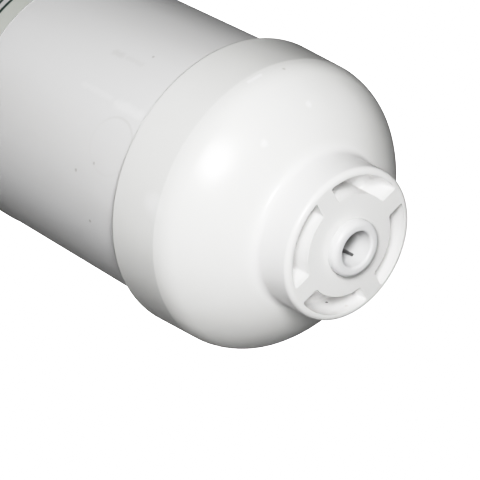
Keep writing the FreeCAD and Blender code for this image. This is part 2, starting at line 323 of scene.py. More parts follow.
class Graph:
    """A node tree with short ways to add and join nodes."""

    def __init__(self, tree: bpy.types.NodeTree) -> None:
        """Work on a tree."""
        self.tree = tree

    def add(self, kind: str, inputs: dict[Any, Any] | None = None, **settings: Any) -> bpy.types.Node:
        """Add a node.

        Args:
            kind: Node type.
            inputs: Values or sockets for the node's inputs, by name or number.
            settings: Properties of the node.

        Returns:
            The new node.
        """
        node = self.tree.nodes.new(kind)
        for key, value in settings.items():
            setattr(node, key, value)
        for key, value in (inputs or {}).items():
            self.feed(node.inputs[key], value)
        return node

    def feed(self, target: Socket, value: Any) -> None:
        """Link a socket to an input, or set the input's value.

        Args:
            target: The input.
            value: A socket, or a plain value.
        """
        if isinstance(value, Socket):
            self.tree.links.new(value, target)
        else:
            target.default_value = value

    def calc(self, operation: str, *values: Any, clamp: bool = False) -> Socket:
        """Result of a sum on numbers."""
        inputs = dict(enumerate(values))
        return self.add("ShaderNodeMath", inputs, operation=operation, use_clamp=clamp).outputs[0]

    def vector(self, operation: str, *values: Any) -> bpy.types.Node:
        """Node for a sum on vectors."""
        return self.add("ShaderNodeVectorMath", dict(enumerate(values)), operation=operation)

    def remap(self, value: Any, low: float, high: float, to_low: Any, to_high: Any) -> Socket:
        """Value carried smoothly from one range to another."""
        limits = {"Value": value, "From Min": low, "From Max": high, "To Min": to_low, "To Max": to_high}
        return self.add("ShaderNodeMapRange", limits, interpolation_type="SMOOTHSTEP").outputs["Result"]

    def fade(self, value: Any, core: float) -> Socket:
        """One within a core, and from there smoothly down to zero where the value is one."""
        return self.remap(value, core, 1.0, 1.0, 0.0)

    def mix(self, share: Any, first: Any, second: Any) -> Socket:
        """Mix two colours.

        Args:
            share: How much of the second colour shows, from 0 to 1.
            first: First colour.
            second: Second colour.

        Returns:
            The socket of the mixed colour.
        """
        node = self.add("ShaderNodeMix", data_type="RGBA")
        for key, value in (("Factor_Float", share), ("A_Color", first), ("B_Color", second)):
            self.feed(next(socket for socket in node.inputs if socket.identifier == key), value)
        return next(socket for socket in node.outputs if socket.identifier == "Result_Color")

    def noise(self, place: Any, size: Any, detail: float = 2.0) -> Socket:
        """Cloudy value whose clouds have about the given size."""
        inputs = {"Vector": place, "Scale": self.calc("DIVIDE", 1.0, size), "Detail": detail}
        return self.add("ShaderNodeTexNoise", inputs).outputs["Fac"]

    def group(self, tree: bpy.types.NodeTree, inputs: dict[str, Any]) -> bpy.types.Node:
        """Add a shared effect with its own values.

        Args:
            tree: Node group of the effect.
            inputs: Values or sockets for its inputs, by name.

        Returns:
            The group's node.
        """
        node = self.add("ShaderNodeGroup", node_tree=tree)
        for key, value in inputs.items():
            self.feed(node.inputs[key], value)
        return node


class Effect(Enum):
    """Shared surface effects, each a node group that is built once."""

    SKIN = "moulded_skin"
    MARK = "surface_mark"
    RING = "ring_mark"
    SPECKS = "stray_specks"
    BAND = "end_band"

    def tree(self) -> bpy.types.NodeTree:
        """Node group of the effect."""
        return bpy.data.node_groups.get(self.value) or EFFECT_BUILDERS[self](self.value)


def new_group(name: str, inputs: dict[str, str], outputs: Sequence[str]) -> tuple[Graph, Any, Any]:
    """Start a node group.

    Args:
        name: Name of the group.
        inputs: Kind of each input socket, by name.
        outputs: Names of the number outputs.

    Returns:
        The group's graph, the sockets that bring its inputs, and the sockets that take its outputs.
    """
    tree = bpy.data.node_groups.new(name, "ShaderNodeTree")
    for label, kind in inputs.items():
        tree.interface.new_socket(label, in_out="INPUT", socket_type=f"NodeSocket{kind}")
    for label in outputs:
        tree.interface.new_socket(label, in_out="OUTPUT", socket_type="NodeSocketFloat")
    graph = Graph(tree)
    source = graph.add("NodeGroupInput")
    result = graph.add("NodeGroupOutput")
    return graph, source.outputs, result.inputs


def build_skin(name: str) -> bpy.types.NodeTree:
    """Cloudy tone and fine grain of a plastic surface, stretched along the axis where it was drawn.

    Args:
        name: Name of the group.

    Returns:
        The group, with Mottle and Grain from 0 to 1.
    """
    kinds = {"Place": "Vector", "Mottle Size": "Float", "Grain Size": "Float", "Draw": "Float"}
    graph, source, result = new_group(name, kinds, ("Mottle", "Grain"))
    shrink = graph.add("ShaderNodeCombineXYZ", {0: graph.calc("DIVIDE", 1.0, source["Draw"]), 1: 1.0, 2: 1.0})
    drawn = graph.vector("MULTIPLY", source["Place"], shrink.outputs[0]).outputs[0]
    graph.feed(result["Mottle"], graph.noise(drawn, source["Mottle Size"], detail=3.0))
    graph.feed(result["Grain"], graph.noise(drawn, source["Grain Size"]))
    return graph.tree


def build_mark(name: str) -> bpy.types.NodeTree:
    """Short mark along a line between two points, with a soft ragged outline.

    Args:
        name: Name of the group.

    Returns:
        The group, with Mask from 0 to 1.
    """
    kinds = {"Place": "Vector", "From": "Vector", "To": "Vector", "Width": "Float", "Ragged": "Float"}
    graph, source, result = new_group(name, kinds, ("Mask",))
    reach = graph.vector("SUBTRACT", source["Place"], source["From"]).outputs[0]
    line = graph.vector("SUBTRACT", source["To"], source["From"]).outputs[0]
    along = graph.vector("DOT_PRODUCT", reach, line).outputs["Value"]
    square = graph.vector("DOT_PRODUCT", line, line).outputs["Value"]
    share = graph.calc("DIVIDE", along, square, clamp=True)
    nearest = graph.add("ShaderNodeVectorMath", {0: line, "Scale": share}, operation="SCALE").outputs[0]
    offset = graph.vector("SUBTRACT", reach, nearest).outputs[0]
    distance = graph.calc("DIVIDE", graph.vector("LENGTH", offset).outputs["Value"], source["Width"])
    wander = graph.calc("SUBTRACT", graph.noise(source["Place"], source["Width"]), 0.5)
    uneven = graph.calc("MULTIPLY_ADD", wander, source["Ragged"], distance)
    graph.feed(result["Mask"], graph.fade(uneven, core=0.1))
    return graph.tree


def build_ring(name: str) -> bpy.types.NodeTree:
    """Thin ring about a point of the surface, such as a gate leaves.

    Args:
        name: Name of the group.

    Returns:
        The group, with Mask from 0 to 1.
    """
    kinds = {"Place": "Vector", "Centre": "Vector", "Radius": "Float", "Width": "Float"}
    graph, source, result = new_group(name, {**kinds, "Clear Side": "Vector"}, ("Mask",))
    offset = graph.vector("SUBTRACT", source["Place"], source["Centre"]).outputs[0]
    distance = graph.vector("LENGTH", offset).outputs["Value"]
    away = graph.calc("ABSOLUTE", graph.calc("SUBTRACT", distance, source["Radius"]))
    line = graph.fade(graph.calc("DIVIDE", away, source["Width"]), core=0.2)
    towards = graph.vector("NORMALIZE", offset).outputs[0]
    side = graph.vector("DOT_PRODUCT", towards, source["Clear Side"]).outputs["Value"]
    clear = graph.remap(side, low=-0.2, high=0.9, to_low=0.2, to_high=1.0)
    graph.feed(result["Mask"], graph.calc("MULTIPLY", line, clear))
    return graph.tree


def build_specks(name: str) -> bpy.types.NodeTree:
    """Few small specks, strewn without order.

    Args:
        name: Name of the group.

    Returns:
        The group, with Mask from 0 to 1.
    """
    kinds = {"Place": "Vector", "Spacing": "Float", "Size": "Float", "Share": "Float"}
    graph, source, result = new_group(name, kinds, ("Mask",))
    scale = graph.calc("DIVIDE", 1.0, source["Spacing"])
    cells = graph.add("ShaderNodeTexVoronoi", {"Vector": source["Place"], "Scale": scale})
    draw = graph.add("ShaderNodeSeparateColor", {0: cells.outputs["Color"]})
    kept = graph.calc("LESS_THAN", draw.outputs[0], source["Share"])
    size = graph.calc("MULTIPLY", graph.calc("DIVIDE", source["Size"], source["Spacing"]), draw.outputs[1])
    dot = graph.fade(graph.calc("DIVIDE", cells.outputs["Distance"], size), core=0.4)
    graph.feed(result["Mask"], graph.calc("MULTIPLY", dot, kept))
    return graph.tree


def build_band(name: str) -> bpy.types.NodeTree:
    """Band round the cartridge, the same towards both ends.

    Args:
        name: Name of the group.

    Returns:
        The group, with Mask from 0 to 1.
    """
    kinds = {"Place": "Vector", "Distance": "Float", "Half Width": "Float", "Blur": "Float"}
    graph, source, result = new_group(name, kinds, ("Mask",))
    x = graph.add("ShaderNodeSeparateXYZ", {0: source["Place"]}).outputs["X"]
    off = graph.calc("ABSOLUTE", graph.calc("SUBTRACT", graph.calc("ABSOLUTE", x), source["Distance"]))
    inside = graph.calc("SUBTRACT", source["Half Width"], off)
    faded = graph.calc("DIVIDE", inside, source["Blur"])
    graph.feed(result["Mask"], graph.calc("MULTIPLY_ADD", faded, 0.5, 0.5, clamp=True))
    return graph.tree


EFFECT_BUILDERS: dict[Effect, Callable[[str], bpy.types.NodeTree]] = {
    Effect.SKIN: build_skin,
    Effect.MARK: build_mark,
    Effect.RING: build_ring,
    Effect.SPECKS: build_specks,
    Effect.BAND: build_band,
}


def new_material(name: str) -> tuple[bpy.types.Material, Graph, bpy.types.Node, Socket]:
    """Start a material.

    Args:
        name: Name of the material.

    Returns:
        The material, its graph, its Principled shader, and the socket with places on the piece.
    """
    material = bpy.data.materials.new(name)
    material.use_nodes = True
    graph = Graph(material.node_tree)
    graph.tree.nodes.clear()
    shader = graph.add("ShaderNodeBsdfPrincipled")
    graph.add("ShaderNodeOutputMaterial", {"Surface": shader.outputs[0]})
    place = graph.add("ShaderNodeTexCoord").outputs["Object"]
    return material, graph, shader, place


# Finishes

def lay_skin(
    graph: Graph,
    shader: bpy.types.Node,
    place: Socket,
    sizes: dict[str, float],
    height: float,
    roughness: Span,
) -> bpy.types.Node:
    """Give a shader the uneven gloss and the grain of a surface.

    Args:
        graph: Graph of the material.
        shader: Its Principled shader.
        place: Socket with places on the piece.
        sizes: Mottle Size, Grain Size and Draw of the skin.
        height: Height of the grain.
        roughness: Lowest and highest roughness.

    Returns:
        The skin's node, with Mottle and Grain from 0 to 1.
    """
    skin = graph.group(Effect.SKIN.tree(), {"Place": place, **sizes})
    rough = graph.remap(skin.outputs["Mottle"], *MOTTLE_SPAN, *roughness)
    graph.feed(shader.inputs["Roughness"], rough)
    bump = graph.add("ShaderNodeBump", {"Height": skin.outputs["Grain"], "Distance": height})
    graph.feed(shader.inputs["Normal"], bump.outputs[0])
    return skin


@dataclass(frozen=True, kw_only=True)
class Layer:
    """Something with a colour that lies on a surface: a real mark or line, or painted light or shade.

    Attributes:
        effect: Shared effect that gives its shape.
        colour: Its colour.
        strength: How much of that colour shows.
    """

    effect: ClassVar[Effect]
    colour: Colour
    strength: float = 1.0

    def sizes(self) -> dict[str, Any]:
        """Values for the effect's inputs, by name."""
        raise NotImplementedError

    def lay(self, graph: Graph, place: Socket, colour: Socket) -> Socket:
        """Lay it over a colour.

        Args:
            graph: Graph of the material.
            place: Socket with places on the piece.
            colour: Colour under the layer.

        Returns:
            The colour with the layer on it.
        """
        mask = graph.group(self.effect.tree(), {"Place": place, **self.sizes()}).outputs["Mask"]
        return graph.mix(graph.calc("MULTIPLY", mask, self.strength), colour, self.colour)


@dataclass(frozen=True, kw_only=True)
class Mark(Layer):
    """Small mark on a surface: a mark of use, or a painted glint or light patch.

    Attributes:
        start: One end of the mark.
        end: Its other end, the same for a dot.
        width: Half its width.
        ragged: How uneven its outline is.
    """

    effect: ClassVar[Effect] = Effect.MARK
    start: Vector
    end: Vector
    width: float
    ragged: float = 0.6

    def sizes(self) -> dict[str, Any]:
        """Values for the effect's inputs, by name."""
        return {"From": self.start, "To": self.end, "Width": self.width, "Ragged": self.ragged}


@dataclass(frozen=True, kw_only=True)
class GateRing(Layer):
    """Faint ring that a mould's gate leaves on a surface.

    Attributes:
        centre: Point of the surface inside the ring.
        radius: Radius of the ring.
        width: Half the width of its line.
        clear_side: Direction from the centre in which the ring shows most.
    """

    effect: ClassVar[Effect] = Effect.RING
    centre: Vector
    radius: float
    width: float
    clear_side: Vector

    def sizes(self) -> dict[str, Any]:
        """Values for the effect's inputs, by name."""
        line = {"Centre": self.centre, "Radius": self.radius, "Width": self.width}
        return {**line, "Clear Side": self.clear_side}


@dataclass(frozen=True, kw_only=True)
class Band(Layer):
    """Line round the cartridge, the same towards both ends.

    Attributes:
        distance: Distance of its middle from the middle of the cartridge.
        half_width: Half its width.
        blur: Width over which its edges fade.
    """

    effect: ClassVar[Effect] = Effect.BAND
    distance: float
    half_width: float
    blur: float

    def sizes(self) -> dict[str, Any]:
        """Values for the effect's inputs, by name."""
        return {"Distance": self.distance, "Half Width": self.half_width, "Blur": self.blur}


@dataclass(frozen=True, kw_only=True)
class Specks(Layer):
    """Few small specks, strewn without order.

    Attributes:
        spacing: Distance between the places where a speck may lie.
        size: Size of the largest speck.
        share: Share of those places that have one.
    """

    effect: ClassVar[Effect] = Effect.SPECKS
    spacing: float
    size: float
    share: float

    def sizes(self) -> dict[str, Any]:
        """Values for the effect's inputs, by name."""
        return {"Spacing": self.spacing, "Size": self.size, "Share": self.share}


@dataclass(frozen=True)
class WhitePlastic:
    """White plastic with a cloudy tone, fine grain and a few marks, some of them painted light or shade.

    Attributes:
        name: Name of the material.
        pale: Colour of its lighter clouds.
        dull: Colour of its darker clouds.
        roughness: Lowest and highest roughness.
        grain_size: Size of the grain.
        grain_height: Height of the grain.
        draw: How many times longer the grain is along the axis than round it.
        layers: Lines, rings and marks on it, from the lowest to the highest.
        mottle_size: Size of the clouds.
        specks: Stray specks over all of it.
        specular: Strength of its reflections.
        ior: Index of refraction.
    """

    name: str
    pale: Colour
    dull: Colour
    roughness: Span
    grain_size: float
    grain_height: float
    draw: float = 1.0
    layers: tuple[Layer, ...] = ()
    mottle_size: float = 14.0 * MM
    specks: Specks = Specks(
        colour=grey(0.30, 0.08), strength=0.5, spacing=9.0 * MM, size=0.16 * MM, share=0.16
    )
    specular: float = 0.5
    ior: float = 1.49

    def make(self) -> bpy.types.Material:
        """Build the material.

        Returns:
            The new material.
        """
        material, graph, shader, place = new_material(self.name)
        sizes = {"Mottle Size": self.mottle_size, "Grain Size": self.grain_size, "Draw": self.draw}
        skin = lay_skin(graph, shader, place, sizes, self.grain_height, self.roughness)
        clouds = graph.remap(skin.outputs["Mottle"], *MOTTLE_SPAN, 0.0, 1.0)
        colour = graph.mix(clouds, self.dull, self.pale)
        for layer in (*self.layers, self.specks):
            colour = layer.lay(graph, place, colour)
        graph.feed(shader.inputs["Base Color"], colour)
        shader.inputs["Specular IOR Level"].default_value = self.specular
        shader.inputs["IOR"].default_value = self.ior
        return material


@dataclass(frozen=True)
class PrintedFilm:
    """White film label with a bare greyish margin and thin green lines at both ends.

    Attributes:
        end: Distance of the film's end from the middle of the cartridge.
        margin: Width of the bare margin.
        line_gap: Distance between the two green lines.
        line_width: Width of a green line.
        cut_width: Half the width of the line along the cut edge.
        blur: Width over which the print's edges fade.
        white: Colour of its lighter clouds.
        cloud: Colour of its darker clouds.
        bare: Colour of the margin.
        green: Colour of the green lines.
        cut: Colour of the line along the cut edge.
        roughness: Lowest and highest roughness.
        cloud_size: Size of the clouds.
        fibre_size: Size of the grain.
        fibre_height: Height of the grain.
    """

    end: float
    margin: float = 4.35 * MM
    line_gap: float = 1.9 * MM
    line_width: float = 0.62 * MM
    cut_width: float = 0.06 * MM
    blur: float = 0.15 * MM
    white: Colour = grey(0.735, 0.004)
    cloud: Colour = grey(0.71, 0.008)
    bare: Colour = (0.69, 0.705, 0.665, 1.0)
    green: Colour = (0.010, 0.052, 0.036, 1.0)
    cut: Colour = grey(0.5)
    roughness: Span = (0.34, 0.44)
    cloud_size: float = 20.0 * MM
    fibre_size: float = 0.5 * MM
    fibre_height: float = 0.006 * MM

    def bands(self) -> list[Band]:
        """Bare margin, green lines and cut edge, in the order in which they are laid.

        Returns:
            The bands of both ends.
        """
        first_line = self.end - self.margin
        half_line = self.line_width / 2.0
        rows = (
            (self.bare, self.end, self.margin, self.blur),
            (self.green, first_line, half_line, self.blur),
            (self.green, first_line - self.line_gap, half_line, self.blur),
            (self.cut, self.end, self.cut_width, self.cut_width),
        )
        return [
            Band(colour=colour, distance=distance, half_width=half_width, blur=blur)
            for colour, distance, half_width, blur in rows
        ]

    def make(self) -> bpy.types.Material:
        """Build the material.

        Returns:
            The new material.
        """
        material, graph, shader, place = new_material("label_film")
        sizes = {"Mottle Size": self.cloud_size, "Grain Size": self.fibre_size, "Draw": 1.0}
        skin = lay_skin(graph, shader, place, sizes, self.fibre_height, self.roughness)
        colour = graph.mix(skin.outputs["Mottle"], self.cloud, self.white)
        for band in self.bands():
            colour = band.lay(graph, place, colour)
        graph.feed(shader.inputs["Base Color"], colour)
        return material


@dataclass(frozen=True)
class GrainyFinish:
    """Finish of a hidden piece: two tones in grains of one size.

    Attributes:
        name: Name of the material.
        dark: Colour of the low grains.
        light: Colour of the high grains.
        roughness: Lowest and highest roughness.
        grain_size: Size of the grains.
        grain_height: Height of the grains.
        metallic: One for bare metal.
        draw: How many times longer the grains are along the axis than round it.
        cloud_grains: Size of the clouds in its gloss, counted in grains.
    """

    name: str
    dark: Colour
    light: Colour
    roughness: Span
    grain_size: float
    grain_height: float
    metallic: float = 0.0
    draw: float = 1.0
    cloud_grains: float = 8.0

    def make(self) -> bpy.types.Material:
        """Build the material.

        Returns:
            The new material.
        """
        material, graph, shader, place = new_material(self.name)
        cloud_size = self.cloud_grains * self.grain_size
        sizes = {"Mottle Size": cloud_size, "Grain Size": self.grain_size, "Draw": self.draw}
        skin = lay_skin(graph, shader, place, sizes, self.grain_height, self.roughness)
        grain = graph.remap(skin.outputs["Grain"], *GRAIN_SPAN, 0.0, 1.0)
        graph.feed(shader.inputs["Base Color"], graph.mix(grain, self.dark, self.light))
        shader.inputs["Metallic"].default_value = self.metallic
        return material


# Sub-assemblies

@dataclass(frozen=True)
class Cartridge:
    """Places that the sub-assemblies share, read from the frame.

    Attributes:
        axis: Height of the housing's axis.
        seam: Distance of a cap's edge from the middle.
        face: Distance of a collar's face from the middle.
        collet_front: Distance of a collet's front from the middle.
        collet_end: Distance of a collet's inner end from the middle.
        tube_end: Distance of the tube's end from the middle.
        label_end: Distance of the label's end from the middle.
    """

    axis: float
    seam: float
    face: float
    collet_front: float
    collet_end: float
    tube_end: float
    label_end: float

    @classmethod
    def from_frame(cls) -> "Cartridge":
        """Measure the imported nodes.

        Returns:
            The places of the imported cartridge.
        """
        cap_low, cap_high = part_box("outlet_end_cap")
        collet_low, collet_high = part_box("outlet_collet")
        tube_low, tube_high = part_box("body_tube")
        label_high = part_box("label_sleeve")[1]
        return cls(
            axis=(tube_low.z + tube_high.z) / 2.0,
            seam=cap_low.x,
            face=cap_high.x,
            collet_front=collet_high.x,
            collet_end=collet_low.x,
            tube_end=tube_high.x,
            label_end=label_high.x,
        )


def finish_piece(
    piece: bpy.types.Object, body: Body, node: str, material: bpy.types.Material
) -> None:
    """Dress a modelled piece and tie it to the frame.

    Args:
        piece: The modelled piece.
        body: Body that it rides on.
        node: Node that it stands for.
        material: Its material.
    """
    piece.data.materials.clear()
    piece.data.materials.append(material)
    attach(piece, body.value)
    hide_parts(node)
    logger.info("%s: %d faces on %s", piece.name, len(piece.data.polygons), body.value)


@dataclass
class HousingTube:
    """Plain drawn tube of the housing, bevelled at its ends."""

    cartridge: Cartridge
    outer_radius: float = 25.5 * MM
    wall: float = 2.5 * MM
    end_bevel: float = 0.6 * MM
    rounds_per_turn: int = 160

    def lathe(self) -> Lathe:
        """Lathe of the tube."""
        return Lathe(self.cartridge.axis, self.rounds_per_turn)

    def build(self) -> bpy.types.Object:
        """Model the tube.

        Returns:
            The finished piece.
        """
        end = self.cartridge.tube_end
        inner_radius = self.outer_radius - self.wall
        outline = [(-end, inner_radius), (-end, self.outer_radius - self.end_bevel)]
        outline += [(-end + self.end_bevel, self.outer_radius), (end - self.end_bevel, self.outer_radius)]
        outline += [(end, self.outer_radius - self.end_bevel), (end, inner_radius)]
        piece = self.lathe().turn("housing_tube", 0.0, outline)
        end_shaping(piece)
        return piece

    def on_surface(self, s: float, degrees: float) -> Vector:
        """Point of the tube's surface at a distance from the outlet cap's edge and an angle."""
        return self.lathe().place(self.cartridge.seam + s, self.outer_radius, math.radians(degrees))

    def dot(self, s: float, degrees: float) -> Mark:
        """Small dark dot."""
        place = self.on_surface(s, degrees)
        return Mark(colour=grey(0.34, 0.05), strength=0.4, start=place, end=place, width=0.45 * MM)

    def streak(self, reach: Span, degrees: float, width: float, colour: Colour, strength: float) -> Mark:
        """Faint ragged streak along the axis, between two distances from the outlet cap's edge."""
        start, end = (self.on_surface(s, degrees) for s in reach)
        return Mark(colour=colour, strength=strength, start=start, end=end, width=width, ragged=1.0)

    def gate_ring(self) -> GateRing:
        """Gate ring on the tube near the outlet cap, clearest on its upper side.

        Returns:
            The ring.
        """
        centre = self.on_surface(-6.2 * MM, 152.0)
        clear_side = (self.on_surface(-3.5 * MM, 142.0) - centre).normalized()
        return GateRing(
            colour=grey(0.30, 0.08),
            strength=0.12,
            centre=centre,
            radius=5.2 * MM,
            width=0.4 * MM,
            clear_side=clear_side,
        )

    def joint(self) -> Band:
        """Faint dark line along the edges of the caps."""
        x = self.cartridge.seam - 0.15 * MM
        return Band(colour=grey(0.3, 0.02), strength=0.06, distance=x, half_width=0.2 * MM, blur=0.5 * MM)

    def finish(self) -> WhitePlastic:
        """Plastic of the tube, with drawing streaks, dots, rubs, a gate ring and a dark line along the caps.

        Returns:
            The tube's finish.
        """
        dark_rub = grey(0.5, 0.03)
        light_rub = grey(1.0)
        marks = (
            self.streak((-18.6 * MM, -16.5 * MM), 117.6, width=1.0 * MM, colour=dark_rub, strength=0.16),
            self.streak((-15.0 * MM, -10.9 * MM), 117.2, width=0.8 * MM, colour=dark_rub, strength=0.10),
            self.streak((-19.5 * MM, -11.5 * MM), 135.2, width=0.9 * MM, colour=light_rub, strength=0.22),
            self.streak((-9.5 * MM, -3.0 * MM), 136.0, width=1.5 * MM, colour=light_rub, strength=0.40),
            self.dot(-10.6 * MM, 111.7),
            self.dot(-13.3 * MM, 167.6),
            self.dot(-8.9 * MM, 161.2),
            self.dot(-8.9 * MM, 186.1),
        )
        return WhitePlastic(
            name="tube_plastic",
            pale=grey(0.845),
            dull=grey(0.82, 0.004),
            roughness=(0.40, 0.50),
            grain_size=0.7 * MM,
            grain_height=0.010 * MM,
            draw=14.0,
            layers=(self.joint(), self.gate_ring(), *marks),
        )

    def dress(self, piece: bpy.types.Object) -> None:
        """Give the tube its finish and its place in the frame."""
        finish_piece(piece, Body.HOUSING, "body_tube", self.finish().make())


@dataclass
class FilmLabel:
    """Film wrapped round the tube, its last stretch lying over its first."""

    cartridge: Cartridge
    inner_radius: float = 25.55 * MM
    film: float = 0.08 * MM
    overlap_gap: float = 0.01 * MM
    seam_degrees: float = 285.0
    overlap_degrees: float = 16.0
    ramp_degrees: float = 3.0
    steps: int = 150

    def build(self) -> bpy.types.Object:
        """Model the label as one strip, rolled up and then given its thickness.

        Returns:
            The finished piece.
        """
        lathe = Lathe(self.cartridge.axis, self.steps)
        turn = 360.0 + self.overlap_degrees
        lift = self.film + self.overlap_gap
        places = []
        for step in range(self.steps + 1):
            degrees = turn * step / self.steps
            risen = min(max((degrees - 360.0 + self.ramp_degrees) / self.ramp_degrees, 0.0), 1.0)
            radius = self.inner_radius + self.film / 2.0 + lift * risen
            angle = math.radians(self.seam_degrees + degrees)
            places.append(lathe.place(-self.cartridge.label_end, radius, angle))
        piece = begin_piece("film_label", places[0])
        draw_line(places)
        bpy.ops.mesh.select_all(action="SELECT")
        length = Vector((2.0 * self.cartridge.label_end, 0.0, 0.0))
        bpy.ops.mesh.extrude_edges_move(TRANSFORM_OT_translate={"value": length})
        bpy.ops.mesh.select_all(action="SELECT")
        bpy.ops.mesh.normals_make_consistent(inside=False)
        bpy.ops.object.mode_set(mode="OBJECT")
        apply_modifier(piece, "SOLIDIFY", thickness=self.film, offset=0.0)
        end_shaping(piece)
        return piece

    def dress(self, piece: bpy.types.Object) -> None:
        """Give the label its print and its place in the frame."""
        print_finish = PrintedFilm(end=self.cartridge.label_end)
        finish_piece(piece, Body.HOUSING, "label_sleeve", print_finish.make())


@dataclass
class EndCap:
    """Moulded end cap: skirt, soft corner, dome, neck, and a collar with four kidney recesses."""

    cartridge: Cartridge
    edge_radius: float = 27.45 * MM
    inner_radius: float = 25.55 * MM
    tube_inner_radius: float = 23.0 * MM
    weld_depth: float = 9.0 * MM
    edge_round: float = 0.6 * MM
    skirt_length: float = 10.5 * MM
    draft: float = math.radians(2.2)
    crease: float = math.radians(10.0)
    crease_round: float = 2.5 * MM
    corner_radius: float = 8.5 * MM
    corner_sweep: float = math.radians(33.6)
    dome_radius: float = 21.0 * MM
    dome_wall: float = 2.6 * MM
    neck_radius: float = 14.1 * MM
    # Length and end gap of the stretch of painted light, a whiter colour on the neck and in the recesses.
    painted_light_height: float = 7.6 * MM
    painted_light_edge: float = 0.4 * MM
    root_round: float = 1.6 * MM
    collar_round: float = 1.0 * MM
    spoke_turn: float = math.radians(28.0)
    spoke_width: float = 3.65 * MM
    spoke_count: int = 4
    half_spoke_steps: int = 4
    recess_inner: float = 9.45 * MM
    recess_outer: float = 12.8 * MM
    recess_depth: float = 6.0 * MM
    recess_corner: float = 0.5 * MM
    recess_rim: float = 0.30 * MM
    recess_floor_round: float = 0.35 * MM
    mouth_radius: float = 4.65 * MM
    mouth_land: float = 1.6 * MM
    cone_length: float = 2.4 * MM
    chamber_radius: float = 5.35 * MM
    ledge_depth: float = 7.4 * MM
    gland_radius: float = 4.95 * MM
    gland_depth: float = 9.5 * MM
    socket_radius: float = 3.25 * MM
    stop_depth: float = 15.5 * MM
    passage_radius: float = 2.2 * MM
    passage_end_depth: float = 17.7 * MM
    spigot_socket_radius: float = 6.1 * MM
    spigot_socket_mouth: float = 3.0 * MM
    spigot_lead: float = 0.6 * MM
    hub_radius: float = 8.3 * MM
    rounds_per_turn: int = 144
    pale: Colour = (0.866, 0.866, 0.853, 1.0)
    dull: Colour = (0.847, 0.847, 0.832, 1.0)
    stain: Colour = (0.45, 0.38, 0.28, 1.0)

    def lathe(self) -> Lathe:
        """Lathe whose first section lies on the middle of a spoke."""
        return Lathe(self.cartridge.axis, self.rounds_per_turn, self.spoke_turn)

    def face(self) -> float:
        """Distance of the collar's face from the cap's edge."""
        return self.cartridge.face - self.cartridge.seam

    def corner_centre(self) -> Point:
        """Centre of the round corner between skirt and dome."""
        skirt_end = (self.skirt_length, self.edge_radius - self.skirt_length * math.tan(self.draft))
        return polar(skirt_end, -self.corner_radius, self.draft)

    def dome_start(self) -> float:
        """Angle at which the corner meets the dome."""
        return self.draft + self.corner_sweep

    def dome_centre(self) -> Point:
        """Centre of the dome's arc."""
        return polar(self.corner_centre(), self.corner_radius - self.dome_radius, self.dome_start())

    def outside(self) -> list[Point]:
        """Half section from the cap's edge over skirt, crease, dome and neck to the collar's face.

        Returns:
            The section's points, in order.
        """
        tan_draft = math.tan(self.draft)
        corner = self.corner_centre()
        corner_start = self.draft + self.crease
        half_crease = self.crease / 2.0
        crease_reach = (self.corner_radius - self.crease_round) / math.cos(half_crease)
        crease = polar(corner, crease_reach, self.draft + half_crease)
        dome = self.dome_centre()
        root_r = self.neck_radius + self.root_round
        root_reach = self.dome_radius + self.root_round
        root = (dome[0] + math.sqrt(root_reach**2 - (root_r - dome[1]) ** 2), root_r)
        dome_end = math.atan2(root[0] - dome[0], root[1] - dome[1])
        edge = (self.edge_round, self.edge_radius - self.edge_round * (1.0 + tan_draft))
        collar = (self.face() - self.collar_round, self.neck_radius - self.collar_round)
        outline = arc(edge, self.edge_round, -math.pi / 2.0, self.draft, steps=5)
        half_skirt = self.skirt_length / 2.0
        outline += [(half_skirt, self.edge_radius - half_skirt * tan_draft)]
        outline += arc(crease, self.crease_round, self.draft, corner_start, steps=4)
        outline += arc(corner, self.corner_radius, corner_start, self.dome_start(), steps=8)
        outline += arc(dome, self.dome_radius, self.dome_start(), dome_end, steps=14)[1:]
        outline += arc(root, self.root_round, dome_end - math.pi, -math.pi, steps=6)[1:]
        outline += arc(collar, self.collar_round, 0.0, math.pi / 2.0, steps=8)
        return outline

    def inside(self) -> list[Point]:
        """Half section from the collar's face through the port and back along the dome's inner wall.

        Returns:
            The section's points, in order.
        """
        face = self.face()
        dome = self.dome_centre()
        inner_dome = self.dome_radius - self.dome_wall
        hub_angle = math.acos((self.hub_radius - dome[1]) / inner_dome)
        tube_angle = math.acos((self.tube_inner_radius - dome[1]) / inner_dome)
        outline = [(face, self.recess_outer), (face, self.recess_inner), (face, self.mouth_radius)]
        outline += [(face - self.mouth_land, self.mouth_radius)]
        outline += [(face - self.mouth_land - self.cone_length, self.chamber_radius)]
        steps = (
            (self.ledge_depth, self.chamber_radius, self.gland_radius),
            (self.gland_depth, self.gland_radius, self.socket_radius),
            (self.stop_depth, self.socket_radius, self.passage_radius),
            (self.passage_end_depth, self.passage_radius, self.spigot_socket_radius),
        )
        for depth, before, after in steps:
            outline += [(face - depth, before), (face - depth, after)]
        outline += [(self.spigot_socket_mouth + self.spigot_lead, self.spigot_socket_radius)]
        outline += [(self.spigot_socket_mouth, self.spigot_socket_radius + self.spigot_lead)]
        outline += [(self.spigot_socket_mouth, self.hub_radius)]
        outline += arc(dome, inner_dome, hub_angle, tube_angle, steps=10)
        outline += [(self.weld_depth, self.tube_inner_radius), (self.weld_depth, self.inner_radius)]
        outline += [(0.0, self.inner_radius)]
        return outline

    def off_spoke(self, lathe: Lathe, place: Vector) -> float:
        """Signed angle of a point from the middle of the nearest spoke."""
        pitch = math.tau / self.spoke_count
        return (lathe.angle(place) - self.spoke_turn + pitch / 2.0) % pitch - pitch / 2.0

    def cut_recesses(self, piece: bpy.types.Object, lathe: Lathe) -> None:
        """Sink the four kidney recesses into the collar's face.

        Args:
            piece: The turned cap, in edit mode.
            lathe: The lathe that turned it.
        """
        step = math.tau / self.rounds_per_turn
        near = step / 4.0
        border = self.half_spoke_steps * step
        face_x = self.cartridge.face
        half_width = self.spoke_width / 2.0

        def on_face(place: Vector) -> bool:
            """Whether a point lies on the collar's face."""
            return abs(place.x - face_x) < PLACE_TOLERANCE

